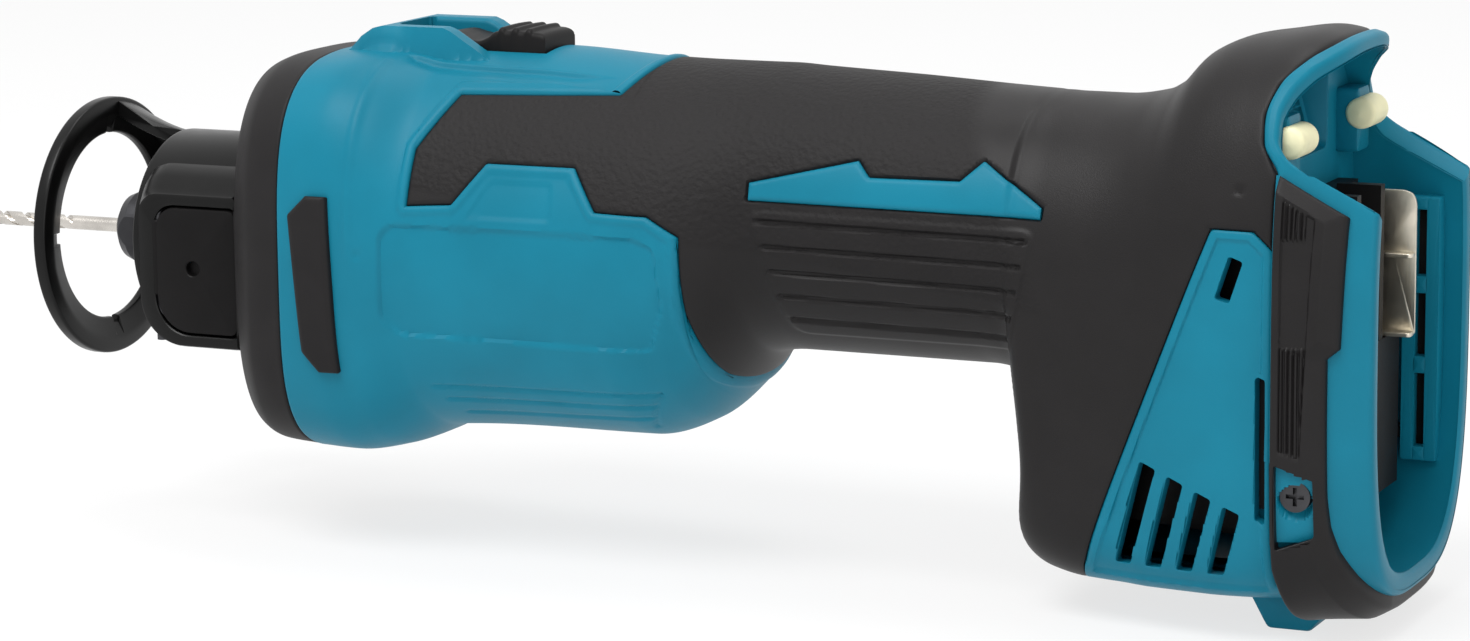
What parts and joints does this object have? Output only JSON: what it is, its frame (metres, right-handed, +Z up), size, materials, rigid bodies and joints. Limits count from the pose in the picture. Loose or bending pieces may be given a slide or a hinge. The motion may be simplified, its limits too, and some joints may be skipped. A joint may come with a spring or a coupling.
{
  "type": "drywall cut-out tool",
  "caption": "Cordless spiral-bit cut-out tool body: barrel motor housing, soft grip, sliding depth guide ring with lock lever, slide switch and open rear battery bay.",
  "frame": {"origin": "under the middle of the whole part's box, at the height of the foot's underside", "axes": "+X along the spindle towards the battery end, +Z up, -Y is the tool's left side, where the lever is"},
  "size_m": [0.338, 0.0812, 0.1163],
  "materials": {
    "blue_plastic": "satin moulded plastic, teal blue",
    "soft_grip": "soft moulded elastomer, fine leather texture",
    "cover_plastic": "matt charcoal plastic",
    "gloss_black": "black, semi gloss",
    "black_plastic": "black moulded plastic",
    "bearing_steel": "ground steel",
    "dark_steel": "blackened steel",
    "bit_steel": "ground tool steel",
    "lamination_steel": "stacked electrical steel",
    "copper_winding": "enamelled copper wire",
    "bearing_rubber": "black rubber",
    "terminal_metal": "dull nickel plate",
    "buffer_rubber": "cream rubber"
  },
  "bodies": {
    "housing": {"housing_left": "blue_plastic", "housing_right": "blue_plastic", "grip_left": "soft_grip", "grip_right": "soft_grip", "front_pads": "soft_grip", "bumper_left": "soft_grip", "bumper_right": "soft_grip", "front_cover": "cover_plastic", "switch_body": "black_plastic", "controller": "black_plastic", "terminal_block": "black_plastic", "nose_sleeve": "bearing_steel", "front_bearing_outer": "bearing_steel", "rear_bearing_outer": "bearing_steel", "lock_spring": "bearing_steel", "housing_screws": "dark_steel", "cover_screws": "dark_steel", "stator_core": "lamination_steel", "stator_coils": "copper_winding", "rear_bearing_seat": "bearing_rubber", "terminal_blades": "terminal_metal", "buffers": "buffer_rubber"},
    "spindle_set": {"spindle": "bearing_steel", "rotor_core": "lamination_steel", "fan": "black_plastic", "front_bearing_inner": "bearing_steel", "rear_bearing_inner": "bearing_steel", "front_balls": "bearing_steel", "rear_balls": "bearing_steel", "collet": "bearing_steel", "collet_nut": "dark_steel", "cutting_bit": "bit_steel"},
    "switch_slider": {"switch_knob": "black_plastic", "switch_link": "black_plastic"},
    "guide": {"depth_guide": "gloss_black", "lever_pin": "bearing_steel"},
    "lever": {"lock_lever": "gloss_black"},
    "lock_pin": {"lock_button": "soft_grip"}
  },
  "joints": [
    {"name": "spindle_spin", "type": "hinge", "parent": "housing", "child": "spindle_set", "pos_m": [0, 0, 0.0615], "axis": [1, 0, 0], "continuous": true},
    {"name": "switch_slide", "type": "slide", "parent": "housing", "child": "switch_slider", "axis": [-1, 0, 0], "range_m": [0, 0.006]},
    {"name": "guide_slide", "type": "slide", "parent": "housing", "child": "guide", "axis": [-1, 0, 0], "range_m": [0, 0.012]},
    {"name": "lever_open", "type": "hinge", "parent": "guide", "child": "lever", "pos_m": [-0.106, -0.022, 0.0565], "axis": [0, 0, -1], "range_deg": [0, 90]},
    {"name": "lock_press", "type": "slide", "parent": "housing", "child": "lock_pin", "axis": [0, -1, 0], "range_m": [0, 0.0024], "stiffness_N_per_m": 600, "springref_m": -0.003, "deforming": ["lock_spring"]}
  ]
}
